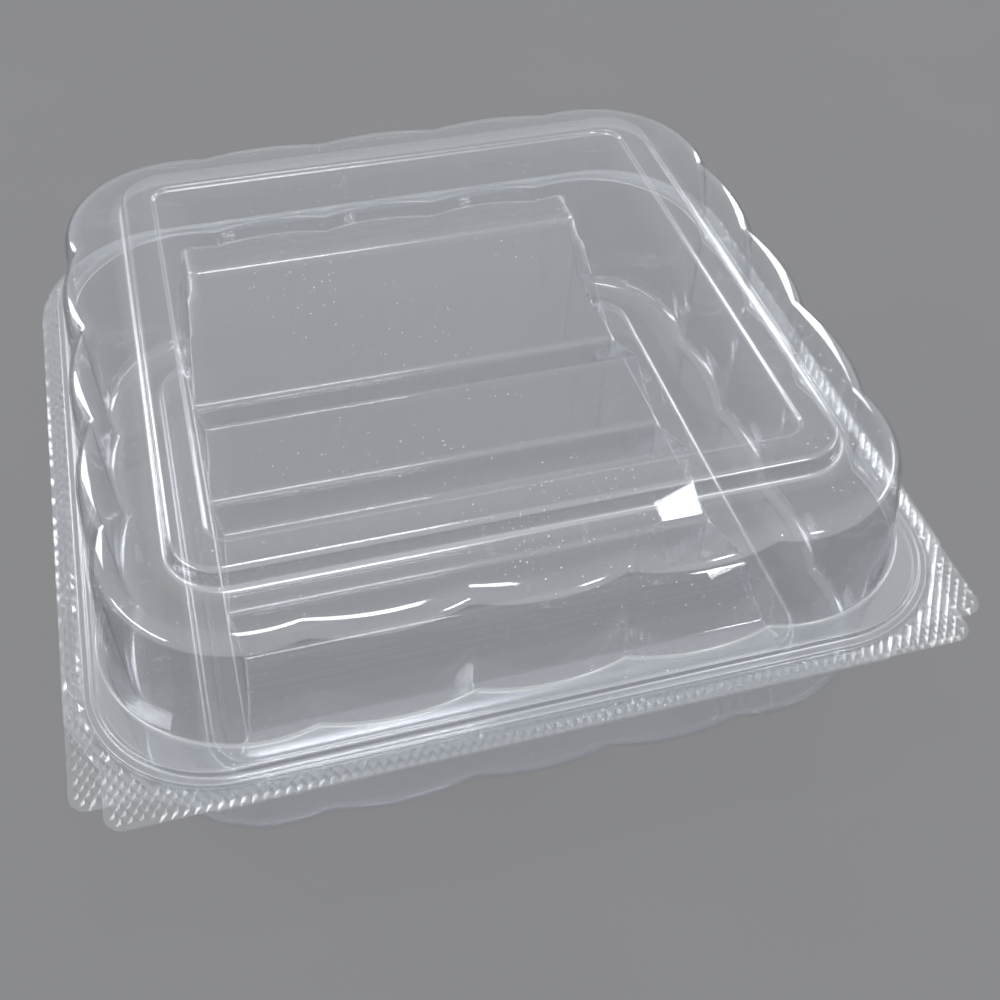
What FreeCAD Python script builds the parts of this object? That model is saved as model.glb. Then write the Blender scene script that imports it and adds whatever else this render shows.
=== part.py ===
import FreeCAD, Part
import math
import os

os.makedirs("parts", exist_ok=True)

# Hinged clear food pack, two thin shells that close on each other
# Millimetres, Z up, base floor on Z = 0, front edge toward -Y, hinge toward +Y

V = FreeCAD.Vector
doc = FreeCAD.newDocument("clamshell")

# Driving sizes
SIZES = (
    ("sheet", 0.4, "sheet thickness"),
    ("flange_half_width", 100.0, "middle to side edge of the flange"),
    ("front_margin", 3.0, "how much further the flange reaches at the front"),
    ("hinge_trim", 3.0, "how much shorter the flange is at the hinge fold"),
    ("back_corner_radius", 37.0, "flange corner radius beside the hinge"),
    ("closing_gap", 0.3, "gap between the closed flanges"),
    ("notch_depth", 6.5, "how far a notched flange corner is set back"),
    ("notch_land", 14.6, "straight length of a notched corner"),
    ("notch_run", 13.0, "length of the slanted end of a notch"),
    ("tab_radius", 3.8, "radius of a finger tab tip"),
    ("step_inset_side", 4.0, "flange edge to first lid step, sides and back"),
    ("step_inset_front", 4.0, "flange edge to first lid step, front"),
    ("step_corner_radius", 30.0, "corner radius of the first lid step"),
    ("step_tread", 1.6, "width of the first lid step"),
    ("step_height", 1.7, "height of the first lid step"),
    ("ledge_height", 3.2, "height of the lid ledge"),
    ("step_draft", 0.4, "inward lean of each small step"),
    ("rim_clearance", 0.3, "side gap between base rim and lid ledge"),
    ("rim_height", 2.2, "height of the base rim"),
    ("corner_span", 40.7, "width of a corner lobe along each side"),
    ("lobe_bulge", 2.6, "how far a lobe swells past its valleys"),
    ("corner_cut", 7.9, "how far the corner lobe is drawn in on the diagonal"),
    ("ledge_margin", 0.8, "narrowest stretch of the lid ledge"),
    ("dome_lean", 3.1, "inward lean of the dome wall"),
    ("ring_height", 30.0, "flange to the flat ring of the lid"),
    ("shoulder_radius", 4.5, "rounding between dome wall and ring"),
    ("platform_inset", 17.0, "valley at the dome foot to the raised lid platform"),
    ("platform_radius", 12.0, "corner radius of the platform"),
    ("platform_rise", 4.7, "platform height above the ring"),
    ("platform_lean", 1.0, "inward lean of the platform wall"),
    ("panel_inset", 8.6, "foot of the platform to the sunk lid panel"),
    ("panel_radius", 5.0, "corner radius of the sunk panel"),
    ("panel_sink", 0.9, "depth of the sunk panel"),
    ("rim_margin", 0.1, "narrowest stretch of the base rim"),
    ("tub_lean", 1.0, "inward lean of the base wall"),
    ("tub_depth", 36.0, "flange to the standing face of the base"),
    ("tub_radius", 4.5, "rounding at the bottom of the base wall"),
    ("floor_inset", 15.8, "valley at the top of the base wall to the raised floor"),
    ("floor_radius", 12.0, "corner radius of the raised floor"),
    ("floor_rise", 4.5, "raised floor above the standing face"),
    ("floor_lean", 0.6, "inward lean of the raised floor wall"),
    ("rest_side_inset", 9.0, "side of the raised floor to the ends of the slanted rests"),
    ("rest_lean", 2.6, "inward lean of the ends of a rest over its height"),
    ("rest_front_inset", 6.0, "front of the raised floor to the first slanted rest"),
    ("rest_height", 14.5, "height of a slanted rest above the raised floor"),
    ("rest_steep_run", 14.0, "depth of the steep front of a rest"),
    ("rest_tip", 1.0, "flat width along the tip of a rest"),
    ("back_slope_inset", 22.3, "rear of the raised floor to the foot of the back slope"),
    ("back_slope_run", 26.0, "depth of the slope up to the hinge side"),
    ("back_slope_drop", 3.0, "top of that slope below the flange"),
)
REST_COUNT = 3
SHOULDER_STEPS = 3

# Ends of cutting shapes that reach past the sheet, and the upright thickness of slanted sheet in sheets
BELOW_FLOOR = -1.0
PAST_TOP = 1.0
SLANTED_SHEETS = 1.3

sheet = doc.addObject("Spreadsheet::Sheet", "sizes")
for row, (alias, value, note) in enumerate(SIZES, 1):
    sheet.set("A%d" % row, note)
    sheet.set("B%d" % row, str(value))
    sheet.setAlias("B%d" % row, alias)
doc.recompute()


def size(alias):
    return float(getattr(sheet, alias))


# Sizes that follow from the driving ones


def flange_front():
    return size("flange_half_width") + size("front_margin")


def hinge_reach():
    return size("flange_half_width") - size("hinge_trim")


def centre_y():
    # Puts the middle of the overall footprint on the origin
    return (flange_front() - hinge_reach()) / 2.0


def ledge_half():
    # Centre to the top edge of the lid ledge
    steps = size("step_inset_side") + size("step_tread") + 2.0 * size("step_draft")
    return size("flange_half_width") - steps


def dome_foot_half():
    # Centre to a valley at the foot of the dome
    return ledge_half() - size("ledge_margin") - size("lobe_bulge")


def rim_inset():
    # First lid step to the outside of the base rim
    steps = size("step_tread") + 2.0 * size("step_draft")
    return steps + size("sheet") + size("rim_clearance")


def tub_top_half():
    # Centre to a valley at the top of the base wall
    rim_half = size("flange_half_width") - size("step_inset_side") - rim_inset()
    return rim_half - size("step_draft") - size("rim_margin") - size("lobe_bulge")


def lobe_pitch():
    # Three lobes share the side between two corner lobes
    return (dome_foot_half() - size("corner_span")) / 1.5


def platform_half():
    return dome_foot_half() - size("platform_inset")


def floor_half():
    return tub_top_half() - size("floor_inset")


def flange_z():
    # Height of the parting face above the floor
    return size("tub_depth")


# Outline helpers


def arc(start, middle, end):
    return Part.Arc(start, middle, end).toShape()


def polyline_wire(points):
    return Part.makePolygon([V(*p) for p in points + points[:1]])


def rounded_wire(corners, z):
    # Closed outline through corner points given as x, y, radius
    count = len(corners)
    points = [V(x, y, z) for x, y, _ in corners]
    edges = []
    ends = []
    for i in range(count):
        here = points[i]
        before = (points[i - 1] - here).normalize()
        after = (points[(i + 1) % count] - here).normalize()
        radius = corners[i][2]
        if radius <= 0:
            ends.append((here, here, None))
            continue
        half_angle = before.getAngle(after) / 2.0
        reach = radius / math.tan(half_angle)
        bisector = (before + after).normalize()
        middle = here + bisector * (radius / math.sin(half_angle) - radius)
        ends.append((here + before * reach, here + after * reach, middle))
    for i in range(count):
        first, second, middle = ends[i]
        if middle is not None:
            edges.append(arc(first, middle, second))
        following = ends[(i + 1) % count][0]
        edges.append(Part.makeLine(second, following))
    return Part.Wire(edges)


def rounded_box_wire(half_x, front, back, radius, z):
    y = centre_y()
    corners = [
        (-half_x, y - front, radius),
        (half_x, y - front, radius),
        (half_x, y + back, radius),
        (-half_x, y + back, radius),
    ]
    return rounded_wire(corners, z)


def square_wire(half, radius, z):
    return rounded_box_wire(half, half, half, radius, z)


def scallop_wire(half, z):
    # Sixteen lobes: three on each side and one around each corner
    pitch = lobe_pitch()
    bulge = size("lobe_bulge")
    corner = half - size("corner_cut")
    edges = []
    for quarter in range(4):
        turn = FreeCAD.Rotation(V(0, 0, 1), 90.0 * quarter)
        shift = V(0, centre_y(), z)
        for lobe in range(3):
            left = (lobe - 1.5) * pitch
            right = left + pitch
            middle = (left + right) / 2.0
            flat = [V(left, -half, 0), V(middle, -half - bulge, 0), V(right, -half, 0)]
            edges.append(arc(*[turn.multVec(p) + shift for p in flat]))
        last = 1.5 * pitch
        bend = [V(last, -half, 0), V(corner, -corner, 0), V(half, -last, 0)]
        edges.append(arc(*[turn.multVec(p) + shift for p in bend]))
    return Part.Wire(edges)


def ruled(wires):
    return Part.makeLoft(wires, True, True)


def plate(wire, thickness):
    return Part.Face(wire).extrude(V(0, 0, thickness))


def rounded_profile(wall_half, z_wall, z_end, radius):
    # Half sizes and heights around a rounded edge that ends at z_end
    sign = 1.0 if z_end > z_wall else -1.0
    levels = []
    for i in range(SHOULDER_STEPS + 1):
        angle = math.pi / 2.0 * i / SHOULDER_STEPS
        z = z_end - sign * radius * (1.0 - math.sin(angle))
        levels.append((wall_half - radius * (1.0 - math.cos(angle)), z))
    return levels


def scallop_solid(levels):
    return ruled([scallop_wire(half, z) for half, z in levels])


# Flange outlines


def back_corners():
    half = size("flange_half_width")
    back = centre_y() + hinge_reach()
    radius = size("back_corner_radius")
    return [(half, back, radius), (-half, back, radius)]


def base_flange_wire(z):
    # The tabs of the base point sideways, its front corners are notched
    half = size("flange_half_width")
    front = centre_y() - flange_front()
    depth = size("notch_depth")
    inner = half - size("notch_land")
    slant = inner - size("notch_run")
    tip = size("tab_radius")
    corners = [
        (-slant, front, 0),
        (slant, front, 0),
        (inner, front + depth, 0),
        (half, front + depth, tip),
    ]
    left = [(-half, front + depth, tip), (-inner, front + depth, 0)]
    return rounded_wire(corners + back_corners() + left, z)


def lid_flange_wire(z):
    # The tabs of the lid point forward, its side corners are notched
    half = size("flange_half_width")
    front = centre_y() - flange_front()
    depth = size("notch_depth")
    land = front + size("notch_land")
    slant = land + size("notch_run")
    tip = size("tab_radius")
    corners = [
        (-half + depth, front, tip),
        (half - depth, front, tip),
        (half - depth, land, 0),
        (half, slant, 0),
    ]
    left = [(-half, slant, 0), (-half + depth, land, 0)]
    return rounded_wire(corners + back_corners() + left, z)


def step_block(inset, z_low, z_high, lean, radius):
    # Rounded block set in from the flange edge by the same amount all round
    half = size("flange_half_width") - size("step_inset_side") - inset
    front = flange_front() - size("step_inset_front") - inset
    back = half
    low = rounded_box_wire(half, front, back, radius - inset, z_low)
    high = rounded_box_wire(half - lean, front - lean, back - lean, radius - inset - lean, z_high)
    return ruled([low, high])


# Slanted rests on the base floor


def rest_profile(drop):
    # Side view of the rests and of the slope at the hinge side, y and z
    first = centre_y() - floor_half() + size("rest_front_inset")
    foot = centre_y() + floor_half() - size("back_slope_inset")
    pitch = (foot - first) / REST_COUNT
    floor = size("floor_rise") - drop
    tip = floor + size("rest_height")
    points = []
    for i in range(REST_COUNT):
        start = first + i * pitch
        crest = start + size("rest_steep_run")
        points.append((start, floor))
        points.append((crest - size("rest_tip") / 2.0, tip))
        points.append((crest + size("rest_tip") / 2.0, tip))
    top = flange_z() - size("back_slope_drop") - drop
    back = centre_y() + hinge_reach()
    points.append((foot, floor))
    points.append((foot + size("back_slope_run"), top))
    points.append((back, top))
    points.append((back, BELOW_FLOOR))
    points.append((first, BELOW_FLOOR))
    return points


def rest_solid(drop, inset):
    # Rests and back slope with leaning ends, all in one solid
    half = floor_half() - size("rest_side_inset") - inset
    lean = size("rest_lean") / size("rest_height")
    low = BELOW_FLOOR
    high = flange_z()
    floor = size("floor_rise")
    wide = half + lean * (floor - low)
    narrow = half - lean * (high - floor)
    wire = polyline_wire([(-wide, y, z) for y, z in rest_profile(drop)])
    prism = Part.Face(wire).extrude(V(2.0 * wide, 0, 0))
    reach = flange_front() + hinge_reach()
    ends = [(-wide, low), (wide, low), (narrow, high), (-narrow, high)]
    wedge_wire = polyline_wire([(x, -reach, z) for x, z in ends])
    wedge = Part.Face(wedge_wire).extrude(V(0, 2.0 * reach, 0))
    return prism.common(wedge)


def raised_floor(drop, inset):
    half = floor_half() - inset
    radius = size("floor_radius") - inset
    lean = size("floor_lean")
    top = size("floor_rise") - drop
    low = square_wire(half, radius, BELOW_FLOOR)
    high = square_wire(half - lean, radius - lean, top)
    return ruled([low, high]).fuse(rest_solid(drop, inset))


# The two shells


def tub_solid(inset, z_top):
    # Scalloped tub down to the standing face, drawn in by the inset
    top_half = tub_top_half() - inset
    wall_half = top_half - size("tub_lean")
    radius = size("tub_radius") - inset
    levels = [(top_half, z_top)]
    levels += rounded_profile(wall_half, z_top, inset, radius)
    return scallop_solid(levels)


def make_base():
    t = size("sheet")
    z = flange_z()
    inset = rim_inset()
    corner = size("step_corner_radius")
    rim_top = z + size("rim_height")
    flange = plate(base_flange_wire(z - t), t)
    rim = step_block(inset, z - t, rim_top, size("step_draft"), corner)
    under = step_block(inset + t, z - 2.0 * t, rim_top - t, size("step_draft"), corner)
    outer = tub_solid(0.0, rim_top).cut(raised_floor(SLANTED_SHEETS * t, t))
    inner = tub_solid(t, rim_top).cut(raised_floor(0.0, 0.0))
    shell = flange.fuse(rim).cut(under).fuse(outer)
    over = plate(scallop_wire(tub_top_half() - t, rim_top), t)
    return shell.cut(inner).cut(over)


def dome_solid(inset, z_low):
    # Scalloped dome with its rounded shoulder and flat ring
    z = flange_z()
    foot_half = dome_foot_half() - inset
    ring = z + size("ring_height") - inset
    radius = size("shoulder_radius") - inset
    wall_half = foot_half - size("dome_lean")
    levels = [(foot_half, z_low)]
    levels += rounded_profile(wall_half, z_low, ring, radius)
    return scallop_solid(levels)


def platform_solid(inset):
    z = flange_z() + size("ring_height")
    half = platform_half() - inset
    radius = size("platform_radius") - inset
    lean = size("platform_lean")
    low = square_wire(half, radius, z - 2.0 * inset - size("shoulder_radius") / 2.0)
    foot = square_wire(half, radius, z - inset)
    high = square_wire(half - lean, radius - lean, z + size("platform_rise") - inset)
    return ruled([low, foot, high])


def panel_block(drop, spread):
    # Sunk panel in the platform top
    z = flange_z() + size("ring_height") + size("platform_rise")
    half = platform_half() - size("panel_inset") + spread
    radius = size("panel_radius") + spread
    sink = size("panel_sink")
    low = square_wire(half - sink / 2.0, radius - sink / 2.0, z - sink - drop)
    high = square_wire(half, radius, z + PAST_TOP - drop)
    return ruled([low, high])


def make_lid():
    t = size("sheet")
    z = flange_z() + size("closing_gap")
    radius = size("step_corner_radius")
    draft = size("step_draft")
    step_top = flange_z() + size("step_height")
    ledge_top = flange_z() + size("ledge_height")
    second = size("step_tread") + draft
    flange = plate(lid_flange_wire(z), t)
    first_step = step_block(0.0, z, step_top, draft, radius)
    ledge = step_block(second, z, ledge_top, draft, radius)
    first_under = step_block(t, z - t, step_top - t, draft, radius)
    ledge_under = step_block(second + t, z - t, ledge_top - t, draft, radius)
    rim = flange.fuse(first_step).fuse(ledge).cut(first_under).cut(ledge_under)
    outer = dome_solid(0.0, ledge_top - t).fuse(platform_solid(0.0))
    outer = outer.cut(panel_block(0.0, 0.0))
    inner = dome_solid(t, ledge_top - t).fuse(platform_solid(t))
    inner = inner.cut(panel_block(t, t))
    hole = plate(scallop_wire(dome_foot_half() - t, z - t), ledge_top - z)
    return rim.fuse(outer).cut(inner).cut(hole)


def cleaned(shape):
    tidy = shape.removeSplitter()
    solids = tidy.Solids
    return solids[0] if len(solids) == 1 else tidy


def add_part(label, shape):
    part = doc.addObject("Part::Feature", label)
    part.Shape = shape
    part.Placement = FreeCAD.Placement(V(0, 0, 0), FreeCAD.Rotation())
    part.Label = label
    return part


parts = [
    add_part("base_tray", cleaned(make_base())),
    add_part("lid", cleaned(make_lid())),
]
doc.recompute()

for part in parts:
    states = set(part.State)
    if states & {"Invalid", "Error"}:
        raise RuntimeError("%s is in state %s" % (part.Label, states))
    if part.Shape.isNull() or not part.Shape.isValid():
        raise RuntimeError("%s has a bad shape" % part.Label)
    if len(part.Shape.Solids) != 1:
        raise RuntimeError("%s holds %d solids" % (part.Label, len(part.Shape.Solids)))
    box = part.Shape.BoundBox
    print(part.Label, "volume", round(part.Shape.Volume, 1), "faces", len(part.Shape.Faces),
          "box", [round(v, 2) for v in (box.XMin, box.XMax, box.YMin, box.YMax, box.ZMin, box.ZMax)])
    part.Shape.exportStep("parts/%s.step" % part.Label)
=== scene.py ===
"""Hinged clear food pack: two thin formed shells, their ribbed flanges and the fold between them."""

import logging
import math
from dataclasses import dataclass, field
from enum import Enum

import bmesh
import bpy
import numpy as np
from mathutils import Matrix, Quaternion, Vector
from mathutils.geometry import delaunay_2d_cdt

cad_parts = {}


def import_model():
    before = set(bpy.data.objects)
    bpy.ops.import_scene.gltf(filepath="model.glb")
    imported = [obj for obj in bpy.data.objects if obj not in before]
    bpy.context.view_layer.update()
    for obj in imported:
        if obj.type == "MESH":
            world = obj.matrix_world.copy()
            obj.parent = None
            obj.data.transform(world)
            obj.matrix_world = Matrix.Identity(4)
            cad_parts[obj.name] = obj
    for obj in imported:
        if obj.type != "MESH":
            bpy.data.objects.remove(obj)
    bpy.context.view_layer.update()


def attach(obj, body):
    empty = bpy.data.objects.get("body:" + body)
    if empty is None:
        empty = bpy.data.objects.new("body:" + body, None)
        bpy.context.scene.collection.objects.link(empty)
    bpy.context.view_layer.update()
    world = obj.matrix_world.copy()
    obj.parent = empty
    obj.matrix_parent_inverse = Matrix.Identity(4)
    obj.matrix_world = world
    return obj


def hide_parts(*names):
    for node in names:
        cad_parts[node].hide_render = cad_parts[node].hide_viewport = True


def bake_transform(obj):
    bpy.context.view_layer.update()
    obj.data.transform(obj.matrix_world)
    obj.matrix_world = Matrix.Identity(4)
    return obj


LOG = logging.getLogger("pack")
MM = 0.001
LEAST_GAP = 1e-6
LEAST_SPAN = 1e-9
Point = tuple[float, float, float]


class Half(Enum):
    """The two halves of the pack."""

    BASE = "base"
    LID = "lid"


@dataclass(frozen=True)
class PackSizes:
    """Sizes that both halves share, in millimetres."""

    sheet: float = 0.4
    middle_y: float = 3.0
    flange_half: float = 100.0
    flange_front: float = 103.0
    flange_back: float = 97.0
    back_radius: float = 37.0
    notch_depth: float = 6.5
    notch_land: float = 14.6
    notch_run: float = 13.0
    tab_radius: float = 3.8
    lobe_pitch: float = 33.0
    lobe_bulge: float = 2.6
    corner_cut: float = 7.9
    valley_softness: float = 0.12
    parting: float = 36.0

    def last_valley(self) -> float:
        """Place of the outermost valley along a side."""
        return 1.5 * self.lobe_pitch


SIZES = PackSizes()


@dataclass(frozen=True)
class HalfCurve:
    """Half of one side of a closed outline, from its middle to the corner diagonal."""

    along: np.ndarray
    out: np.ndarray

    def place(self, value: float, knee: float, core: float) -> tuple[float, float]:
        """Finds the outline's point for one column of the mesh.

        Args:
            value: The column's place along the side, 0 to core.
            knee: Up to here a column keeps its place along the side.
            core: The column that runs to the corner diagonal.

        Returns:
            The place along the side and the distance out from the middle.
        """
        if value <= knee:
            return value, float(np.interp(value, self.along, self.out))
        steps = np.hypot(np.diff(self.along), np.diff(self.out))
        length = np.concatenate([[0.0], np.cumsum(steps)])
        start = float(np.interp(knee, self.along, length))
        share = (value - knee) / (core - knee)
        at = start + share * (length[-1] - start)
        return float(np.interp(at, length, self.along)), float(np.interp(at, length, self.out))


@dataclass(frozen=True)
class RoundedBox:
    """Outline of a box with rounded corners round the middle of the pack."""

    side: float
    front: float
    back: float
    radius: float
    arc_points: int = 24

    def reach(self, quarter: int) -> float:
        """Distance from the middle to one side, 0 front, 1 right, 2 back, 3 left."""
        return (self.front, self.side, self.back, self.side)[quarter % 4]

    def half(self, quarter: int, sign: int) -> HalfCurve:
        """Builds half of one side.

        Args:
            quarter: The side, 0 front, 1 right, 2 back, 3 left.
            sign: 1 for the half toward the next side, -1 toward the one before.

        Returns:
            The curve from the middle of the side to the corner diagonal.
        """
        out = self.reach(quarter)
        width = self.reach(quarter + sign)
        straight = width - self.radius
        angles = np.linspace(0.0, math.pi / 4.0, self.arc_points)
        along = straight + self.radius * np.sin(angles)
        outward = out - self.radius + self.radius * np.cos(angles)
        return HalfCurve(np.concatenate([[0.0], along]), np.concatenate([[out], outward]))


@dataclass(frozen=True)
class Scallop:
    """Outline with three lobes a side and one round each corner."""

    valley: float
    side_points: int = 300
    side_end: float = 3.0
    arc_points: int = 60
    arc_start: float = 3.2

    def lobe(self, along: np.ndarray, middle: float) -> np.ndarray:
        """Height of one side lobe's circle over places along the side.

        Args:
            along: Places along the side.
            middle: Place of the lobe's middle.

        Returns:
            The distance out at each place.
        """
        chord = SIZES.lobe_pitch / 2.0
        bulge = SIZES.lobe_bulge
        radius = (chord * chord + bulge * bulge) / (2.0 * bulge)
        rise = np.clip(radius * radius - (along - middle) ** 2, 0.0, None)
        return self.valley + bulge - radius + np.sqrt(rise)

    def corner(self) -> tuple[float, float]:
        """Centre along both axes and radius of the corner lobe.

        Returns:
            The centre and the radius.
        """
        last = SIZES.last_valley()
        half = self.valley
        diagonal = half - SIZES.corner_cut
        centre = (2.0 * diagonal**2 - half**2 - last**2) / (4.0 * diagonal - 2.0 * last - 2.0 * half)
        return centre, (diagonal - centre) * math.sqrt(2.0)

    def half(self, quarter: int, sign: int) -> HalfCurve:
        """Builds half of one side. All sides are alike.

        Args:
            quarter: Not used, since all sides are alike; the side, 0 front, 1 right, 2 back, 3 left.
            sign: Not used, since both halves are alike; 1 for the half toward the next side, -1 toward the
                one before.

        Returns:
            The curve from the middle of the side to the corner diagonal.
        """
        centre, radius = self.corner()
        last = SIZES.last_valley()
        along = np.linspace(0.0, last + self.side_end, self.side_points)
        rise = np.clip(radius * radius - (along - centre) ** 2, 0.0, None)
        circles = [self.lobe(along, 0.0), self.lobe(along, SIZES.lobe_pitch), centre + np.sqrt(rise)]
        soft = SIZES.valley_softness
        top = np.max(circles, axis=0)
        joined = top + soft * np.log(sum(np.exp((c - top) / soft) for c in circles))
        start = math.asin((last + self.arc_start - centre) / radius)
        angles = np.linspace(start, math.pi / 4.0, self.arc_points)
        bend_along = centre + radius * np.sin(angles)
        bend_out = centre + radius * np.cos(angles)
        return HalfCurve(np.concatenate([along, bend_along]), np.concatenate([joined, bend_out]))


@dataclass(frozen=True)
class Columns:
    """Places of the mesh columns along the sides, shared by every outline of one half."""

    across: tuple[float, ...]
    deep: tuple[float, ...]
    knee: float
    core: float

    def side(self, quarter: int) -> list[float]:
        """Column places of one side, in walking order round the pack."""
        values = self.across if quarter % 2 == 0 else self.deep
        return list(values) if quarter < 2 else [-v for v in reversed(values)]

    def ring(self, outline: "RoundedBox | Scallop | None", height: float) -> np.ndarray:
        """Lays one closed row of points on an outline.

        Args:
            outline: The outline, or None for the square edge of the inner grid.
            height: Height of the row.

        Returns:
            An array of points in millimetres, in the frame of the pack.
        """
        points = []
        for quarter in range(4):
            turn = quarter * math.pi / 2.0
            cos, sin = round(math.cos(turn)), round(math.sin(turn))
            halves = {s: outline.half(quarter, s) for s in (1, -1)} if outline else {}
            for value in self.side(quarter)[:-1]:
                along, out = abs(value), self.core
                if outline:
                    along, out = halves[1 if value > 0 else -1].place(abs(value), self.knee, self.core)
                x, y = math.copysign(along, value), -out
                points.append((cos * x - sin * y, sin * x + cos * y + SIZES.middle_y, height))
        return np.array(points)


def crowded(span: float, pitch: float, marks: list[tuple[float, float, int]]) -> tuple[float, ...]:
    """Spreads columns evenly and adds more round the given marks.

    Args:
        span: The columns run from -span to span.
        pitch: Even spacing.
        marks: Place, spacing and count on each side of every fine spot.

    Returns:
        Sorted places. Even ones that fall close to a fine one are left out.
    """
    edge_room, even_room = 0.05, 0.3 * pitch
    fine = {round(place + k * gap, 4) for place, gap, count in marks for k in range(-count, count + 1)}
    even = np.linspace(-span, span, int(round(2.0 * span / pitch)) + 1)
    keep = sorted({v for v in fine if abs(v) < span - edge_room} | {-span, span})
    for value in even:
        if min(abs(value - v) for v in keep) > even_room:
            keep.append(float(value))
    return tuple(sorted(keep))


@dataclass
class Section:
    """Rows of a shell from its flange inward, with rounded creases between them."""

    columns: Columns
    rows: list[np.ndarray] = field(default_factory=list)
    bends: list[tuple[float, int]] = field(default_factory=list)
    longest_share: float = 0.46

    def add(
        self, outline: "RoundedBox | Scallop | None", height: float, bend: float, steps: int = 3
    ) -> None:
        """Adds a row of the shell.

        Args:
            outline: The outline of the row, or None for the edge of the inner grid.
            height: Height of the row.
            bend: How far its crease is rounded to each side, 0 for a sharp one.
            steps: Number of faces across the rounding.
        """
        self.rows.append(self.columns.ring(outline, height))
        self.bends.append((bend, steps))

    def rounded(self) -> list[np.ndarray]:
        """Rounds every crease.

        Returns:
            The rows to be joined, from the flange inward.
        """
        done = [self.rows[0]]
        for i in range(1, len(self.rows) - 1):
            before, here, after = self.rows[i - 1 : i + 2]
            bend, steps = self.bends[i]
            if bend <= 0.0:
                done.append(here)
                continue
            ends = []
            for other in (before, after):
                gap = np.linalg.norm(other - here, axis=1, keepdims=True)
                share = np.minimum(bend / np.maximum(gap, LEAST_GAP), self.longest_share)
                ends.append(here + (other - here) * share)
            for t in np.linspace(0.0, 1.0, steps + 1):
                done.append((1 - t) ** 2 * ends[0] + 2 * t * (1 - t) * here + t * t * ends[1])
        done.append(self.rows[-1])
        return done


@dataclass(frozen=True)
class Ribbing:
    """Rows of small points pressed into the flanges, in millimetres."""

    pitch_along: float = 2.2
    pitch_across: float = 1.7
    height: float = 0.45
    margin: float = 0.45
    overlap: float = 6.0

    def lattice(self) -> dict[tuple[int, int], tuple[float, float]]:
        """Gives the crossings of the ribbing by row and column, peaks where their sum is even.

        Returns:
            The place of each crossing.
        """
        reach = SIZES.flange_half + self.overlap
        step = 0.5 * self.pitch_along
        rows = range(int(-reach / self.pitch_across), int(reach / self.pitch_across) + 1)
        columns = range(int(-reach / step), int(reach / step) + 1)
        return {(r, c): (c * step, r * self.pitch_across) for r in rows for c in columns}


def inside(points: np.ndarray, outline: np.ndarray) -> np.ndarray:
    """Tells which flat points lie inside a closed outline.

    Args:
        points: Flat points, x and y.
        outline: Points of the closed outline.

    Returns:
        True for each point that is inside.
    """
    x, y = points[:, 0], points[:, 1]
    hit = np.zeros(len(points), bool)
    ends = np.roll(outline, -1, axis=0)
    for (ax, ay), (bx, by) in zip(outline, ends):
        if ay == by:
            continue
        crosses = (ay > y) != (by > y)
        hit ^= crosses & (x < (bx - ax) * (y - ay) / (by - ay) + ax)
    return hit


def clearance(points: np.ndarray, outline: np.ndarray) -> np.ndarray:
    """Gives every flat point's distance to a closed outline.

    Args:
        points: Flat points, x and y.
        outline: Points of the closed outline.

    Returns:
        One distance for each point.
    """
    best = np.full(len(points), np.inf)
    ends = np.roll(outline, -1, axis=0)
    for a, b in zip(outline, ends):
        edge = b - a
        span = float(edge @ edge) or LEAST_SPAN
        share = np.clip(((points - a) @ edge) / span, 0.0, 1.0)
        best = np.minimum(best, np.linalg.norm(points - a - share[:, None] * edge, axis=1))
    return best


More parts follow.
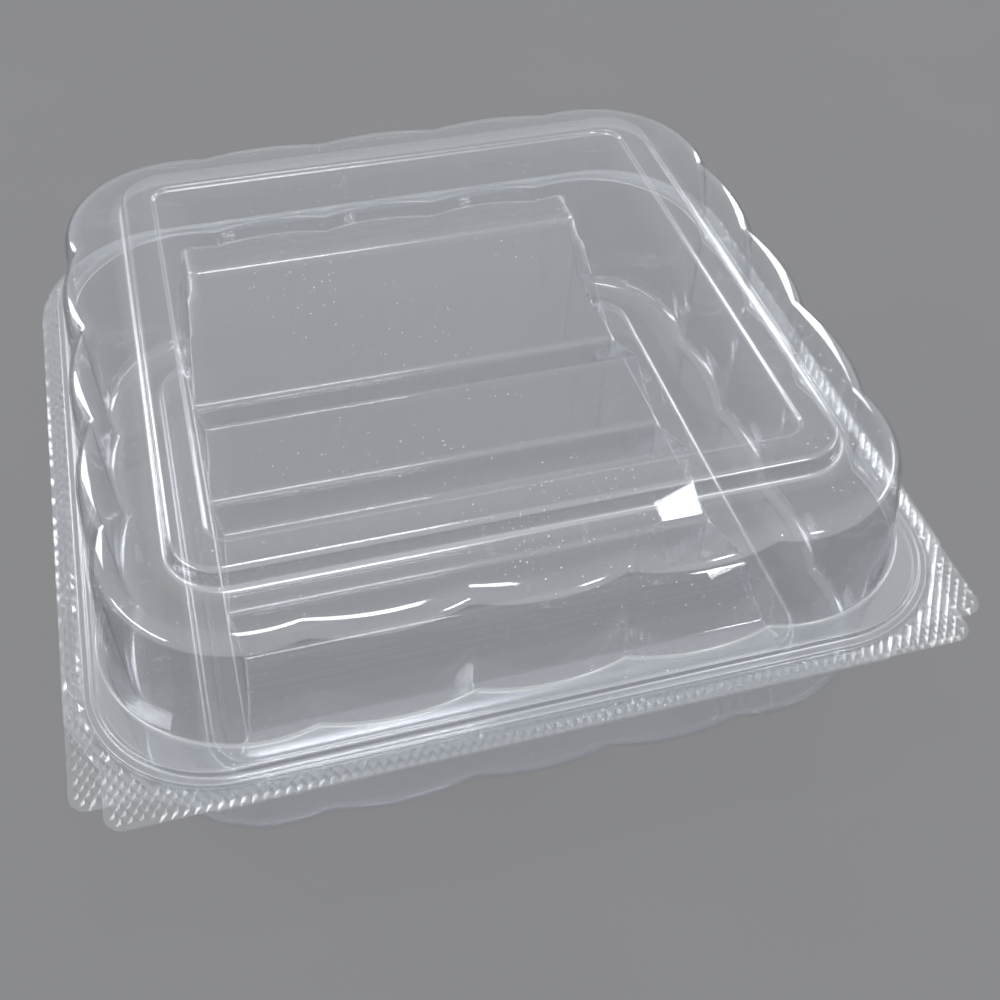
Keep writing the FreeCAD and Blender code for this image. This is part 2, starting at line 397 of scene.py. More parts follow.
@dataclass
class Flange:
    """Outer flat rim of one half with its finger tabs and ribbing."""

    which: Half
    ribbing: Ribbing = field(default_factory=Ribbing)
    inner_radius: float = 2.0
    turn_step: float = 1.5
    least_turns: int = 4
    edge_step: float = 2.2
    merge: float = 1e-5

    def corners(self) -> list[tuple[float, float, float]]:
        """Corner points of the outline with their radii.

        Returns:
            Place along X, place along Y and radius of each.
        """
        half, depth = SIZES.flange_half, SIZES.notch_depth
        front = SIZES.middle_y - SIZES.flange_front
        back = SIZES.middle_y + SIZES.flange_back
        tip, soft = SIZES.tab_radius, self.inner_radius
        if self.which is Half.BASE:
            inner = half - SIZES.notch_land
            right = [(inner - SIZES.notch_run, front, soft), (inner, front + depth, soft)]
            right.append((half, front + depth, tip))
        else:
            land = front + SIZES.notch_land
            right = [(half - depth, front, tip), (half - depth, land, soft)]
            right.append((half, land + SIZES.notch_run, soft))
        right.append((half, back, SIZES.back_radius))
        return right + [(-x, y, r) for x, y, r in reversed(right)]

    def outline(self) -> np.ndarray:
        """Walks the outline in short steps with its corners rounded.

        Returns:
            The outline's points.
        """
        corners = self.corners()
        points: list[np.ndarray] = []
        for i, (x, y, radius) in enumerate(corners):
            here = np.array([x, y])
            before = np.array(corners[i - 1][:2]) - here
            after = np.array(corners[(i + 1) % len(corners)][:2]) - here
            before /= np.linalg.norm(before)
            after /= np.linalg.norm(after)
            half_angle = math.acos(float(np.clip(before @ after, -1.0, 1.0))) / 2.0
            reach = radius / math.tan(half_angle)
            bisector = (before + after) / np.linalg.norm(before + after)
            centre = here + bisector * radius / math.sin(half_angle)
            start, end = here + before * reach, here + after * reach
            turns = np.linspace(0.0, 1.0, max(self.least_turns, int(radius / self.turn_step)))
            for t in turns:
                spoke = (1 - t) * (start - centre) + t * (end - centre)
                points.append(centre + spoke * radius / np.linalg.norm(spoke))
        dense: list[np.ndarray] = []
        for a, b in zip(points, points[1:] + points[:1]):
            count = max(1, int(np.linalg.norm(b - a) / self.edge_step))
            dense += [a + (b - a) * k / count for k in range(count)]
        return np.array(dense)

    def build(self, inner: np.ndarray, height: float) -> tuple[list[Point], list[tuple[int, ...]]]:
        """Meshes the ribbed rim between its outline and the shell's first row.

        Args:
            inner: The shell's first row of points, kept first in the result.
            height: Height of the flat between the ribs.

        Returns:
            The points, the shell's row first, and the triangles.
        """
        outer = self.outline()
        ring = inner[:, :2]
        lattice = self.ribbing.lattice()
        cloud = np.array(list(lattice.values()))
        kept = inside(cloud, outer) & ~inside(cloud, ring)
        near = np.array(list(lattice))[kept]
        cloud = cloud[kept]
        gap = np.minimum(clearance(cloud, outer), clearance(cloud, ring))
        clear = gap > self.ribbing.margin
        free = [(p, (r + c) % 2 == 0) for p, (r, c) in zip(cloud[clear], near[clear])]
        spot = {(int(r), int(c)): k for k, (r, c) in enumerate(near[clear])}
        flat = [Vector(p) for p in ring] + [Vector(p) for p in outer] + [Vector(p) for p, _ in free]
        first, second = len(ring), len(ring) + len(outer)
        edges = [(i, (i + 1) % first) for i in range(first)]
        edges += [(first + i, first + (i + 1) % len(outer)) for i in range(len(outer))]
        for (r, c), k in spot.items():
            for side in (-1, 1):
                if (r + c) % 2 and (r + 1, c + side) in spot:
                    edges.append((second + k, second + spot[r + 1, c + side]))
        made = delaunay_2d_cdt(flat, edges, [], 0, self.merge)
        origin = [ids[0] if ids else -1 for ids in made[3]]
        spots = np.array([tuple(p) for p in made[0]])
        faces = np.array([f for f in made[2] if len(f) == 3])
        middles = spots[faces].mean(axis=1)
        faces = faces[inside(middles, outer) & ~inside(middles, ring)]
        points: list[Point] = [tuple(p) for p in inner]
        number = {}
        for at, source in enumerate(origin):
            if 0 <= source < first:
                number[at] = source
                continue
            lift = self.ribbing.height if source >= second and free[source - second][1] else 0.0
            number[at] = len(points)
            points.append((spots[at][0], spots[at][1], height + lift))
        return points, [tuple(number[int(v)] for v in f) for f in faces]


def soft_max(a: np.ndarray, b: np.ndarray, soft: float) -> np.ndarray:
    """Joins two heights by the higher, with a rounded inside crease."""
    gap = np.clip(1.0 - np.abs(a - b) / soft, 0.0, None)
    return np.maximum(a, b) + 0.25 * soft * gap * gap


def soft_min(a: np.ndarray, b: np.ndarray, soft: float) -> np.ndarray:
    """Joins two heights by the lower, with a rounded outside crease."""
    return -soft_max(-a, -b, soft)


@dataclass(frozen=True)
class SlantedRests:
    """Three slanted rests on the base floor and the slope up to the hinge side."""

    floor: float = 4.5
    first: float = -65.0
    foot: float = 54.7
    count: int = 3
    rise: float = 14.5
    steep_run: float = 14.0
    tip: float = 1.0
    slope_run: float = 26.0
    slope_top: float = 33.0
    half_width: float = 65.0
    side_lean: float = 2.6 / 14.5
    softness: float = 0.9
    samples: int = 9
    below: float = 25.0
    lead: float = 60.0
    front_gap: float = 2.0
    tail: float = 80.0

    def pitch(self) -> float:
        """Distance from one rest to the next."""
        return (self.foot - self.first) / self.count

    def marks(self) -> list[float]:
        """Places along Y where the side view bends.

        Returns:
            The places in millimetres.
        """
        places = [self.foot, self.foot + self.slope_run]
        for i in range(self.count):
            start = self.first + i * self.pitch()
            crest = start + self.steep_run
            places += [start, crest - self.tip / 2.0, crest + self.tip / 2.0]
        return places

    def profile(self, y: np.ndarray) -> np.ndarray:
        """Side view of the rests, its bends rounded over a short width.

        Args:
            y: Places along Y.

        Returns:
            The height at each place.
        """
        deep = self.floor - self.below
        ys, zs = [self.first - self.lead, self.first - self.front_gap], [deep, deep]
        for i in range(self.count):
            start = self.first + i * self.pitch()
            crest = start + self.steep_run
            ys += [start, crest - self.tip / 2.0, crest + self.tip / 2.0]
            zs += [self.floor, self.floor + self.rise, self.floor + self.rise]
        ys += [self.foot, self.foot + self.slope_run, self.foot + self.tail]
        zs += [self.floor, self.slope_top, self.slope_top]
        spread = np.linspace(-self.softness, self.softness, self.samples)
        return np.mean([np.interp(y + s, ys, zs) for s in spread], axis=0)

    def raise_points(self, points: np.ndarray) -> np.ndarray:
        """Lifts the points of the tray that lie under the rests.

        Args:
            points: Points of the tray's upper face.

        Returns:
            The same points with the rests' heights.
        """
        edge = self.half_width - np.abs(points[:, 0])
        ends = self.floor + edge / self.side_lean
        heights = soft_min(self.profile(points[:, 1]), ends, self.softness)
        lifted = points.copy()
        lifted[:, 2] = soft_max(points[:, 2], heights, self.softness)
        return lifted


@dataclass
class SheetMesh:
    """Collects points and faces of one shell and makes its object."""

    name: str
    points: list[Point] = field(default_factory=list)
    faces: list[tuple[int, ...]] = field(default_factory=list)
    ribbed: int = 0
    full_crease: float = 0.45
    crease_power: float = 1.5

    def join_rows(self, rows: list[list[int]]) -> None:
        """Joins closed rows of point numbers with four-sided faces.

        Args:
            rows: The rows, from the flange inward.
        """
        for upper, lower in zip(rows, rows[1:]):
            count = len(upper)
            for i in range(count):
                j = (i + 1) % count
                self.faces.append((upper[i], upper[j], lower[j], lower[i]))

    def add_points(self, points: np.ndarray) -> list[int]:
        """Adds points.

        Args:
            points: The points in millimetres.

        Returns:
            The numbers.
        """
        start = len(self.points)
        self.points += [tuple(p) for p in points]
        return list(range(start, start + len(points)))

    def fill_core(self, columns: Columns, edge: list[int], height: float) -> None:
        """Fills the square inside the last row with a grid that shares its columns.

        Args:
            columns: The columns of the shell.
            edge: Point numbers of the last row.
            height: Height of the grid.
        """
        across, deep = columns.across, columns.deep
        wide, long = len(across) - 1, len(deep) - 1
        number: dict[tuple[int, int], int] = {}
        for i in range(wide):
            number[i, 0] = edge[i]
            number[wide - i, long] = edge[wide + long + i]
        for j in range(long):
            number[wide, j] = edge[wide + j]
            number[0, long - j] = edge[2 * wide + long + j]
        for j in range(1, long):
            for i in range(1, wide):
                number[i, j] = len(self.points)
                self.points.append((across[i], deep[j] + SIZES.middle_y, height))
        for j in range(long):
            for i in range(wide):
                self.faces.append((number[i, j], number[i + 1, j], number[i + 1, j + 1], number[i, j + 1]))

    def make(self, thickness: float, offset: float) -> bpy.types.Object:
        """Makes the object with smooth faces and the sheet's thickness.

        Args:
            thickness: Thickness of the sheet in millimetres.
            offset: -1 thickens below the faces, 1 above them.

        Returns:
            The object, linked to the scene.
        """
        mesh = bpy.data.meshes.new(self.name)
        scaled = [(x * MM, y * MM, z * MM) for x, y, z in self.points]
        mesh.from_pydata(scaled, [], self.faces)
        work = bmesh.new()
        work.from_mesh(mesh)
        bmesh.ops.recalc_face_normals(work, faces=work.faces)
        top = max(work.faces, key=lambda f: f.calc_center_median().z * abs(f.normal.z))
        if top.normal.z < 0.0:
            bmesh.ops.reverse_faces(work, faces=work.faces)
        crease = work.verts.layers.float.new("crease")
        for vert in work.verts:
            bend = max((edge.calc_face_angle(0.0) for edge in vert.link_edges), default=0.0)
            flat = any(face.index < self.ribbed for face in vert.link_faces)
            vert[crease] = 0.0 if flat else min(1.0, bend / self.full_crease) ** self.crease_power
        for face in work.faces:
            face.smooth = face.index >= self.ribbed
            face.material_index = int(face.index < self.ribbed)
        work.to_mesh(mesh)
        work.free()
        made = bpy.data.objects.new(self.name, mesh)
        bpy.context.scene.collection.objects.link(made)
        solid = made.modifiers.new("sheet", "SOLIDIFY")
        solid.thickness = thickness * MM
        solid.offset = offset
        solid.material_offset = 2
        solid.material_offset_rim = 1
        return made


class NodeTree:
    """Short helpers for building shader nodes."""

    def __init__(self, tree: bpy.types.NodeTree) -> None:
        """Keeps the tree."""
        self.tree = tree

    def node(self, kind: str, **inputs: object) -> bpy.types.Node:
        """Adds a node and sets its inputs by name, with underscores for spaces.

        Args:
            kind: The node's type name.
            **inputs: A value, or a socket to link from, for each input.

        Returns:
            The new node.
        """
        made = self.tree.nodes.new(kind)
        for key, value in inputs.items():
            name = key.replace("_", " ")
            socket = made.inputs[int(name[1:])] if name[1:].isdigit() else made.inputs[name]
            if isinstance(value, bpy.types.NodeSocket):
                self.tree.links.new(value, socket)
            else:
                socket.default_value = value
        return made

    def math(self, operation: str, a: object, b: object = 0.0) -> bpy.types.NodeSocket:
        """Adds a Math node.

        Args:
            operation: What the node does.
            a: First value or socket.
            b: Second value or socket.

        Returns:
            The socket of the result.
        """
        made = self.node("ShaderNodeMath", i0=a, i1=b)
        made.operation = operation
        return made.outputs[0]

    def ramp(self, value: bpy.types.NodeSocket, low: float, high: float) -> bpy.types.NodeSocket:
        """Stretches a value so that low gives 0 and high gives 1.

        Args:
            value: The socket to stretch.
            low: Value that gives 0.
            high: Value that gives 1.

        Returns:
            The socket of the result.
        """
        made = self.node("ShaderNodeMapRange", Value=value, From_Min=low, From_Max=high)
        made.clamp = True
        return made.outputs[0]


class Effects:
    """Shader node groups that the finishes share, each built once."""

    def __init__(self) -> None:
        """Builds the groups."""
        self.waves = self.make_waves()
        self.specks = self.make_specks()

    def blank(self, name: str, inputs: dict[str, float], outputs: list[str]) -> bpy.types.NodeTree:
        """Makes an empty group with named sockets.

        Args:
            name: Name of the group.
            inputs: Name and default of each input.
            outputs: Name of each output.

        Returns:
            The group, with its input and output nodes.
        """
        group = bpy.data.node_groups.new(name, "ShaderNodeTree")
        for key, value in inputs.items():
            made = group.interface.new_socket(key, in_out="INPUT", socket_type="NodeSocketFloat")
            made.default_value = value
        for key in outputs:
            group.interface.new_socket(key, in_out="OUTPUT", socket_type="NodeSocketFloat")
        group.nodes.new("NodeGroupInput")
        group.nodes.new("NodeGroupOutput")
        return group

    def ends(self, group: bpy.types.NodeTree) -> tuple[bpy.types.Node, bpy.types.Node]:
        """Gives a group's input and output nodes."""
        return group.nodes["Group Input"], group.nodes["Group Output"]

    def make_waves(self) -> bpy.types.NodeTree:
        """Slow unevenness that forming leaves in the sheet.

        Returns:
            The group.
        """
        group = self.blank("forming_waves", {"Scale": 30.0}, ["Height"])
        start, end = self.ends(group)
        tree = NodeTree(group)
        place = tree.node("ShaderNodeTexCoord").outputs["Object"]
        broad = tree.node("ShaderNodeTexNoise", Vector=place, Scale=start.outputs["Scale"], Detail=0.0)
        group.links.new(broad.outputs[0], end.inputs["Height"])
        return group

    def make_specks(self) -> bpy.types.NodeTree:
        """Fine dust and small rub marks, thinly scattered.

        Returns:
            The group.
        """
        group = self.blank("dust_specks", {"Scale": 420.0, "Amount": 0.1}, ["Mask"])
        patch_scale, patch_low, patch_high = 24.0, 0.3, 0.65
        bare, edge = 0.4, 0.05
        start, end = self.ends(group)
        tree = NodeTree(group)
        place = tree.node("ShaderNodeTexCoord").outputs["Object"]
        cells = tree.node("ShaderNodeTexVoronoi", Vector=place, Scale=start.outputs["Scale"])
        patch = tree.node("ShaderNodeTexNoise", Vector=place, Scale=patch_scale, Detail=0.0)
        patchy = tree.ramp(patch.outputs[0], patch_low, patch_high)
        size = tree.math("MULTIPLY", patchy, start.outputs["Amount"])
        chosen = tree.node("ShaderNodeSeparateColor", Color=cells.outputs["Color"])
        size = tree.math("MULTIPLY", size, tree.ramp(chosen.outputs["Red"], bare, 1.0))
        near = tree.math("SUBTRACT", size, cells.outputs["Distance"])
        group.links.new(tree.ramp(near, 0.0, edge), end.inputs["Mask"])
        return group


@dataclass(frozen=True)
class ClearSheet:
    """Finish of clear formed sheet, which mirrors a little face on and fully at a glancing angle."""

    name: str
    tint: tuple[float, float, float]
    mirror: float = 0.05
    sheen: tuple[float, float, float] = (0.96, 0.975, 1.0)
    rise: float = 5.0
    gloss: float = 0.0
    crease_mirror: float = 0.22
    crease_gloss: float = 0.28
    dusty: bool = True
    lamp_share: float = 0.9
    speck_roughness: float = 0.6
    speck_scale: float = 800.0
    speck_amount: float = 0.22
    speck_cover: float = 0.75
    wave_scale: float = 30.0
    wave_depth: float = 0.00007

    def make(self, effects: Effects) -> bpy.types.Material:
        """Builds the material.

        Args:
            effects: The shared shader groups.

        Returns:
            The material.
        """
        material = bpy.data.materials.new(self.name)
        material.use_nodes = True
        links = material.node_tree.links
        tree = NodeTree(material.node_tree)
        for old in list(material.node_tree.nodes):
            material.node_tree.nodes.remove(old)
        crease = tree.node("ShaderNodeAttribute")
        crease.attribute_name = "crease"
        bent = crease.outputs["Fac"]
        rough = tree.math("MULTIPLY", bent, self.crease_gloss)
        rough = tree.math("MAXIMUM", rough, self.gloss)
        sheen = (*self.sheen, 1.0)
        gloss = tree.node("ShaderNodeBsdfPrincipled", Base_Color=sheen, Metallic=1.0)
        facing = tree.node("ShaderNodeLayerWeight", Blend=0.5)
        steep = tree.math("POWER", facing.outputs["Facing"], self.rise)
        share = tree.math("MULTIPLY_ADD", steep, 1.0 - self.mirror)
        share.node.inputs[2].default_value = self.mirror
        share = tree.math("ADD", share, tree.math("MULTIPLY", bent, self.crease_mirror))
        if self.dusty:
            waves = self.group(tree, effects.waves, Scale=self.wave_scale)
            specks = self.group(tree, effects.specks, Scale=self.speck_scale, Amount=self.speck_amount)
            mask = specks.outputs["Mask"]
            rough = tree.math("MAXIMUM", rough, tree.math("MULTIPLY", mask, self.speck_roughness))
            share = tree.math("MAXIMUM", share, tree.math("MULTIPLY", mask, self.speck_cover))
            bump = tree.node("ShaderNodeBump", Height=waves.outputs["Height"], Distance=self.wave_depth)
            links.new(bump.outputs[0], gloss.inputs["Normal"])
        links.new(rough, gloss.inputs["Roughness"])
        through = tree.node("ShaderNodeBsdfTransparent", Color=(*self.tint, 1.0))
        mixed = tree.node("ShaderNodeMixShader", i0=share)
        links.new(through.outputs[0], mixed.inputs[1])
        links.new(gloss.outputs[0], mixed.inputs[2])
        path = tree.node("ShaderNodeLightPath")
        shade = tree.node("ShaderNodeBsdfTransparent", Color=(*[self.lamp_share] * 3, 1.0))
        lit = tree.node("ShaderNodeMixShader", i0=path.outputs["Is Shadow Ray"])
        links.new(mixed.outputs[0], lit.inputs[1])
        links.new(shade.outputs[0], lit.inputs[2])
        out = tree.node("ShaderNodeOutputMaterial")
        links.new(lit.outputs[0], out.inputs["Surface"])
        return material

    def group(self, tree: NodeTree, effect: bpy.types.NodeTree, **inputs: float) -> bpy.types.Node:
        """Places a shared group in the material with its own values.

        Args:
            tree: The material's nodes.
            effect: The shared group.
            **inputs: A value for each input.

        Returns:
            The group's node.
        """
        made = tree.tree.nodes.new("ShaderNodeGroup")
        made.node_tree = effect
        for key, value in inputs.items():
            made.inputs[key].default_value = value
        return made


def valley_marks() -> list[tuple[float, float, int]]:
    """Gives place, spacing and count of the valleys along a side."""
    gap, count = 0.5, 3
    return [(s * k * SIZES.lobe_pitch, gap, count) for s in (-1, 1) for k in (0.5, 1.5)]


@dataclass
class LidShell:
    """Domed lid with its flange, two small steps, scalloped wall, raised platform and sunk panel."""

    step: float = 96.0
    step_front: float = 99.0
    step_radius: float = 30.0
    draft: float = 0.4
    tread: float = 1.6
    step_top: float = 37.7
    ledge_top: float = 39.2
    dome_foot: float = 90.2
    dome_top: float = 87.1
    ring_top: float = 66.0
    shoulder: float = 6.5
    platform: float = 73.2
    platform_radius: float = 12.0
    platform_top: float = 70.7
    panel: float = 64.6
    panel_radius: float = 5.0
    panel_floor: float = 69.8
    flange_top: float = 36.7
    first_rise: float = 0.15
    ring: float = 77.0
    ring_radius: float = 15.0
    platform_lean: float = 1.0
    panel_lean: float = 0.45
    sag_depth: float = 0.35
    ripple_depth: float = 0.12
    core: float = 56.0
    knee_room: float = 4.0
    even_pitch: float = 2.2

    def step_box(self, inset: float) -> RoundedBox:
        """Outline of a small step set in from the first one."""
        side = self.step - inset
        return RoundedBox(side, self.step_front - inset, side, self.step_radius - inset)

    def columns(self) -> Columns:
        """Columns of the lid, closer at the valleys and toward the corners.

        Returns:
            The columns.
        """
        edge_gap, edge_count = 0.26, 8
        marks = valley_marks()
        marks += [(s * (self.core - 2.0), edge_gap, edge_count) for s in (-1, 1)]
        even = crowded(self.core, self.even_pitch, marks)
        return Columns(even, even, self.core - self.knee_room, self.core)

    def section(self) -> Section:
        """Rows of the lid from its flange to the panel.

        Returns:
            The section, not yet rounded.
        """
        rows = Section(self.columns())
        second = self.tread + self.draft
        rows.add(self.step_box(0.0), self.flange_top, 0.0)
        first = self.first_rise
        rows.add(self.step_box(first), self.flange_top + first, first, 1)
        rows.add(self.step_box(self.draft), self.step_top, 0.45)
        rows.add(self.step_box(second), self.step_top, 0.35)
        rows.add(self.step_box(second + self.draft), self.ledge_top, 0.45)
        rows.add(Scallop(self.dome_foot), self.ledge_top, 0.7)
        for share in (0.3, 0.6):
            wall = self.dome_foot + (self.dome_top - self.dome_foot) * share
            rows.add(Scallop(wall), self.ledge_top + (self.ring_top - self.ledge_top) * share, 0.0)
        rows.add(Scallop(self.dome_top), self.ring_top, self.shoulder, 8)
        rows.add(RoundedBox(self.ring, self.ring, self.ring, self.ring_radius), self.ring_top, 0.0)
        radius = self.platform_radius
        rows.add(RoundedBox(self.platform, self.platform, self.platform, radius), self.ring_top, 1.0)
        top, radius = self.platform - self.platform_lean, radius - self.platform_lean
        rows.add(RoundedBox(top, top, top, radius), self.platform_top, 1.4, 5)
        rows.add(RoundedBox(self.panel, self.panel, self.panel, self.panel_radius), self.platform_top, 0.5)
        floor, radius = self.panel - self.panel_lean, self.panel_radius - self.panel_lean
        rows.add(RoundedBox(floor, floor, floor, radius), self.panel_floor, 0.5)
        rows.add(None, self.panel_floor, 0.0)
        return rows

    def build(self) -> bpy.types.Object:
        """Builds the lid as one thin shell.

        Returns:
            The object.
        """
        section = self.section()
        rows = section.rounded()
        points, faces = Flange(Half.LID).build(rows[0], self.flange_top)
        mesh = SheetMesh("lid_shell", points, faces, len(faces))
        numbers = [list(range(len(rows[0])))]
        numbers += [mesh.add_points(row) for row in rows[1:]]
        mesh.join_rows(numbers)
        mesh.fill_core(section.columns, numbers[-1], self.panel_floor)
        self.sag(mesh)
        return mesh.make(SIZES.sheet, -1.0)

    def sag(self, mesh: SheetMesh) -> None:
        """Bows the panel and the walls a little, as thin sheet does.

        Args:
            mesh: The lid's points and faces.
        """
        for i, (x, y, z) in enumerate(mesh.points):
            if z < self.ledge_top + 0.5:
                continue
            across = math.cos(math.pi / 2.0 * min(1.0, abs(x) / self.dome_foot))
            deep = math.cos(math.pi / 2.0 * min(1.0, abs(y - SIZES.middle_y) / self.dome_foot))
            ripple = self.ripple_depth * math.sin(0.071 * x + 0.6) * math.sin(0.063 * y + 0.2)
            mesh.points[i] = (x, y, z + across * deep * (ripple - self.sag_depth))


@dataclass
class BaseShell:
    """Base tray with its flange, rim, scalloped wall, standing ring, raised floor and rests."""

    rim: float = 92.9
    rim_front: float = 95.9
    rim_radius: float = 26.9
    draft: float = 0.4
    rim_top: float = 38.2
    tub_top: float = 89.4
    tub_foot: float = 88.4
    standing: float = 0.4
    tub_radius: float = 6.0
    floor: float = 74.0
    floor_radius: float = 12.0
    floor_lean: float = 0.6
    floor_edge: float = 70.5
    edge_radius: float = 8.0
    wall_shares: tuple[float, ...] = (0.1, 0.13, 0.16, 0.3, 0.5, 0.7)
    ring_halves: tuple[float, ...] = (80.6, 79.2, 78.4, 77.6, 76.8, 76.0)
    rest_end: float = 63.4
    deep_end: float = 64.4
    core: float = 66.0
    knee_room: float = 4.0
    even_pitch: float = 2.4
    rests: SlantedRests = field(default_factory=SlantedRests)

    def columns(self) -> Columns:
        """Columns of the tray, closer at the valleys, the ends of the rests and their bends.

        Returns:
            The columns.
        """
        valleys = valley_marks()
        ends = [(s * self.rest_end, 0.36, 7) for s in (-1, 1)]
        across = crowded(self.core, self.even_pitch, valleys + ends)
        bends = [(y - SIZES.middle_y, 0.45, 3) for y in self.rests.marks()]
        bends += [(s * self.deep_end, 0.4, 4) for s in (-1, 1)]
        deep = crowded(self.core, self.even_pitch, valleys + bends)
        return Columns(across, deep, self.core - self.knee_room, self.core)

    def rim_box(self, inset: float) -> RoundedBox:
        """Outline of the rim, set in by inset."""
        side = self.rim - inset
        return RoundedBox(side, self.rim_front - inset, side, self.rim_radius - inset)

    def section(self) -> Section:
        """Rows of the tray from its flange to the raised floor.

        Returns:
            The section, not yet rounded.
        """
        rows = Section(self.columns())
        rows.add(LidShell().step_box(0.0), SIZES.parting, 0.0)
        rows.add(self.rim_box(0.0), SIZES.parting, 0.4)
        rows.add(self.rim_box(self.draft), self.rim_top, 0.45)
        rows.add(Scallop(self.tub_top), self.rim_top, 0.6)
        span = self.rim_top - self.standing
        for share in self.wall_shares:
            wall = self.tub_top + (self.tub_foot - self.tub_top) * share
            rows.add(Scallop(wall), self.rim_top - span * share, 0.0)
        rows.add(Scallop(self.tub_foot), self.standing, self.tub_radius, 7)
        for half in self.ring_halves:
            radius = self.floor_radius + half - self.floor
            rows.add(RoundedBox(half, half, half, radius), self.standing, 0.0)
        rows.add(RoundedBox(self.floor, self.floor, self.floor, self.floor_radius), self.standing, 0.8)
        top = self.floor - self.floor_lean
        rows.add(RoundedBox(top, top, top, self.floor_radius - self.floor_lean), self.rests.floor, 1.0)
        edge = self.floor_edge
        rows.add(RoundedBox(edge, edge, edge, self.edge_radius), self.rests.floor, 0.0)
        rows.add(None, self.rests.floor, 0.0)
        return rows

    def build(self) -> bpy.types.Object:
        """Builds the tray as one thin shell.

        Returns:
            The object.
        """
        section = self.section()
        rows = section.rounded()
        points, faces = Flange(Half.BASE).build(rows[0], SIZES.parting)
        mesh = SheetMesh("base_shell", points, faces, len(faces))
        flange = len(points)
        numbers = [list(range(len(rows[0])))]
        numbers += [mesh.add_points(row) for row in rows[1:]]
        mesh.join_rows(numbers)
        mesh.fill_core(section.columns, numbers[-1], self.rests.floor)
        lifted = self.rests.raise_points(np.array(mesh.points[flange:]))
        mesh.points[flange:] = [tuple(p) for p in lifted]
        return mesh.make(SIZES.sheet, -1.0)


@dataclass
class HingeFold:
    """Narrow fold that joins the two flanges along the hinge side."""

    half_width: float = 62.0
    back: float = 100.0
    low: float = 35.8
    high: float = 36.5
    bulge: float = 0.42
    sunk: float = 0.05
    sheet: float = 0.18
    steps: int = 10
    columns: int = 63

    def build(self) -> bpy.types.Object:
        """Builds the fold as a thin curved strip.

        Returns:
            The object.
        """
        mesh = SheetMesh("hinge_fold")
        middle = (self.low + self.high) / 2.0
        for x in np.linspace(-self.half_width, self.half_width, self.columns):
            for k in range(self.steps + 1):
                angle = -math.pi / 2.0 + math.pi * k / self.steps
                out = self.bulge * math.cos(angle)
                rise = (self.high - self.low) / 2.0 * math.sin(angle)
                mesh.points.append((float(x), self.back - self.sunk + out, middle + rise))
        width = self.steps + 1
        for i in range(self.columns - 1):
            for k in range(self.steps):
                a = i * width + k
                mesh.faces.append((a, a + width, a + width + 1, a + 1))
        return mesh.make(self.sheet, 0.0)


@dataclass(frozen=True)
class PhotoCamera:
    """Camera at the photograph's viewing angle, lengths in metres, angles in degrees."""

    place: Point = (-0.05720, -0.23914, 0.26037)
    target: Point = (0.00367, -0.03277, 0.036)
    roll: float = 1.34
    lens: float = 46.44
    sensor: float = 36.0
    nearest: float = 0.01

    def make(self) -> None:
        """Adds the camera and makes it the scene's."""
        data = bpy.data.cameras.new("camera")
        data.lens = self.lens
        data.sensor_width = self.sensor
        data.clip_start = self.nearest
        made = bpy.data.objects.new("camera", data)
        aim = (Vector(self.target) - Vector(self.place)).to_track_quat("-Z", "Y")
        made.rotation_mode = "QUATERNION"
        made.rotation_quaternion = aim @ Quaternion((0.0, 0.0, 1.0), math.radians(self.roll))
        made.location = self.place
        bpy.context.scene.collection.objects.link(made)
        bpy.context.scene.camera = made


@dataclass(frozen=True)
class SoftLamp:
    """One area lamp."""

    name: str
    place: Point
    aim: Point
    size: tuple[float, float]
    power: float

    def make(self) -> None:
        """Adds the lamp."""
        data = bpy.data.lights.new(self.name, "AREA")
        data.shape = "RECTANGLE"
        data.size, data.size_y = self.size
        data.energy = self.power
        made = bpy.data.objects.new(self.name, data)
        made.location = self.place
        made.rotation_mode = "QUATERNION"
        made.rotation_quaternion = (Vector(self.aim) - Vector(self.place)).to_track_quat("-Z", "Y")
        bpy.context.scene.collection.objects.link(made)


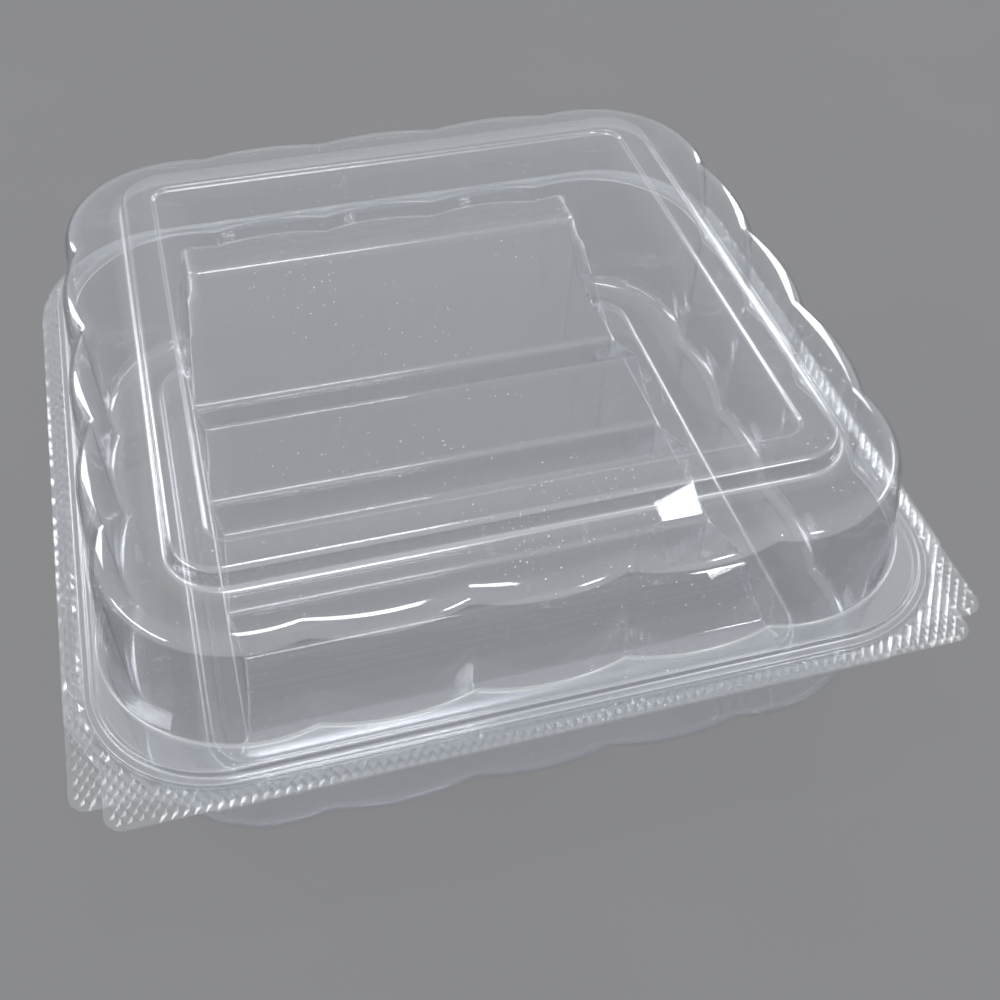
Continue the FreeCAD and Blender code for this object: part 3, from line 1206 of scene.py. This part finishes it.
@dataclass(frozen=True)
class Studio:
    """Plain floor, soft lamps and an even world."""

    floor_colour: tuple[float, float, float] = (0.26, 0.26, 0.268)
    world_colour: tuple[float, float, float] = (0.98, 0.99, 1.0)
    world_strength: float = 0.75
    floor_reach: float = 4.0
    grain_scale: float = 14.0
    grain_detail: float = 3.0
    tone_span: tuple[float, float] = (0.97, 1.03)

    def lamps(self) -> list[SoftLamp]:
        """The lamps of the studio.

        Returns:
            The lamps, all aimed at the middle of the pack.
        """
        middle = (0.0, 0.0, 0.04)
        return [
            SoftLamp("overhead_lamp", (0.0, 0.15, 1.1), middle, (0.3, 0.18), 1.3),
            SoftLamp("back_left_lamp", (-0.95, 1.0, 0.5), middle, (0.2, 0.65), 2.0),
            SoftLamp("back_right_lamp", (0.95, 0.95, 0.5), middle, (0.2, 0.65), 2.1),
            SoftLamp("left_strip", (-1.05, -0.1, 0.5), middle, (0.9, 0.08), 1.6),
            SoftLamp("right_strip", (1.1, 0.1, 0.42), middle, (0.8, 0.08), 1.2),
            SoftLamp("front_lamp", (0.46, -0.86, 0.61), middle, (0.12, 0.09), 0.5),
        ]

    def make(self) -> None:
        """Builds the floor, the world and the lamps."""
        scene = bpy.context.scene
        scene.view_settings.view_transform = "Standard"
        scene.cycles.transparent_max_bounces = 24
        scene.cycles.glossy_bounces = 2
        scene.cycles.diffuse_bounces = 1
        scene.cycles.use_light_tree = False
        scene.cycles.caustics_reflective = False
        scene.cycles.caustics_refractive = False
        self.make_floor()
        self.make_world()
        for lamp in self.lamps():
            lamp.make()

    def make_world(self) -> None:
        """Builds an even world that the camera sees in the floor's grey."""
        world = bpy.data.worlds.new("studio")
        world.use_nodes = True
        tree = NodeTree(world.node_tree)
        light = world.node_tree.nodes["Background"]
        light.inputs["Color"].default_value = (*self.world_colour, 1.0)
        light.inputs["Strength"].default_value = self.world_strength
        seen = tree.node("ShaderNodeBackground", Color=(*self.floor_colour, 1.0), Strength=1.0)
        path = tree.node("ShaderNodeLightPath")
        mixed = tree.node("ShaderNodeMixShader", i0=path.outputs["Is Camera Ray"])
        world.node_tree.links.new(light.outputs[0], mixed.inputs[1])
        world.node_tree.links.new(seen.outputs[0], mixed.inputs[2])
        out = world.node_tree.nodes["World Output"]
        world.node_tree.links.new(mixed.outputs[0], out.inputs["Surface"])
        bpy.context.scene.world = world

    def make_floor(self) -> None:
        """Builds the floor, slightly uneven in tone."""
        mesh = bpy.data.meshes.new("floor")
        reach = self.floor_reach
        ends = [(-reach, -reach, 0.0), (reach, -reach, 0.0), (reach, reach, 0.0), (-reach, reach, 0.0)]
        mesh.from_pydata(ends, [], [(0, 1, 2, 3)])
        floor = bpy.data.objects.new("floor", mesh)
        bpy.context.scene.collection.objects.link(floor)
        material = bpy.data.materials.new("floor_grey")
        material.use_nodes = True
        tree = NodeTree(material.node_tree)
        material.node_tree.nodes.remove(material.node_tree.nodes["Principled BSDF"])
        shader = tree.node("ShaderNodeBsdfDiffuse", Roughness=0.0)
        place = tree.node("ShaderNodeTexCoord").outputs["Object"]
        scale, detail = self.grain_scale, self.grain_detail
        grain = tree.node("ShaderNodeTexNoise", Vector=place, Scale=scale, Detail=detail)
        low, high = self.tone_span
        tone = tree.node("ShaderNodeMapRange", Value=grain.outputs[0], To_Min=low, To_Max=high)
        colour = tree.node("ShaderNodeVectorMath", i0=self.floor_colour, i1=tone.outputs[0])
        colour.operation = "MULTIPLY"
        out = material.node_tree.nodes["Material Output"]
        material.node_tree.links.new(colour.outputs[0], shader.inputs["Color"])
        material.node_tree.links.new(shader.outputs[0], out.inputs["Surface"])
        mesh.materials.append(material)


class Pack:
    """The whole pack."""

    def __init__(self) -> None:
        """Builds the finishes: outer faces, ribs, inner faces and the ribs' inner faces."""
        effects = Effects()
        base, lid, ribs = (0.985, 0.99, 1.0), (0.99, 0.994, 1.0), (0.99, 0.995, 1.0)
        ribbed = ClearSheet("clear_ribbed", ribs, mirror=0.11, gloss=0.2).make(effects)
        under = ClearSheet("clear_ribbed_under", ribs, mirror=0.08, gloss=0.12, dusty=False).make(effects)
        self.base_finish = [
            ClearSheet("clear_base", base, crease_mirror=0.15).make(effects),
            ribbed,
            ClearSheet("clear_base_under", base, crease_mirror=0.12, dusty=False).make(effects),
            under,
        ]
        self.lid_finish = [
            ClearSheet("clear_lid", lid).make(effects),
            ribbed,
            ClearSheet("clear_lid_under", lid, dusty=False).make(effects),
            under,
        ]

    def dress(self, piece: bpy.types.Object, finish: list[bpy.types.Material]) -> None:
        """Gives a piece its finishes and reports it.

        Args:
            piece: The piece's object.
            finish: Its materials, in the order of their numbers.
        """
        for material in finish:
            piece.data.materials.append(material)
        piece.visible_diffuse = False
        LOG.info("%s: %d faces", piece.name, len(piece.data.polygons))

    def make(self) -> None:
        """Builds every piece and sets the base and the lid on their bodies."""
        base = BaseShell().build()
        self.dress(base, self.base_finish)
        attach(base, "base")
        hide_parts("base_tray")
        lid = LidShell().build()
        self.dress(lid, self.lid_finish)
        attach(lid, "lid")
        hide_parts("lid")
        lid.visible_shadow = False
        fold = HingeFold().build()
        self.dress(fold, self.base_finish)
        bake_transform(fold)


def main() -> None:
    """Builds the pack and its studio."""
    logging.basicConfig(level=logging.INFO, format="%(name)s %(message)s")
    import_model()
    PhotoCamera().make()
    Studio().make()
    Pack().make()


if __name__ == "__main__":
    main()
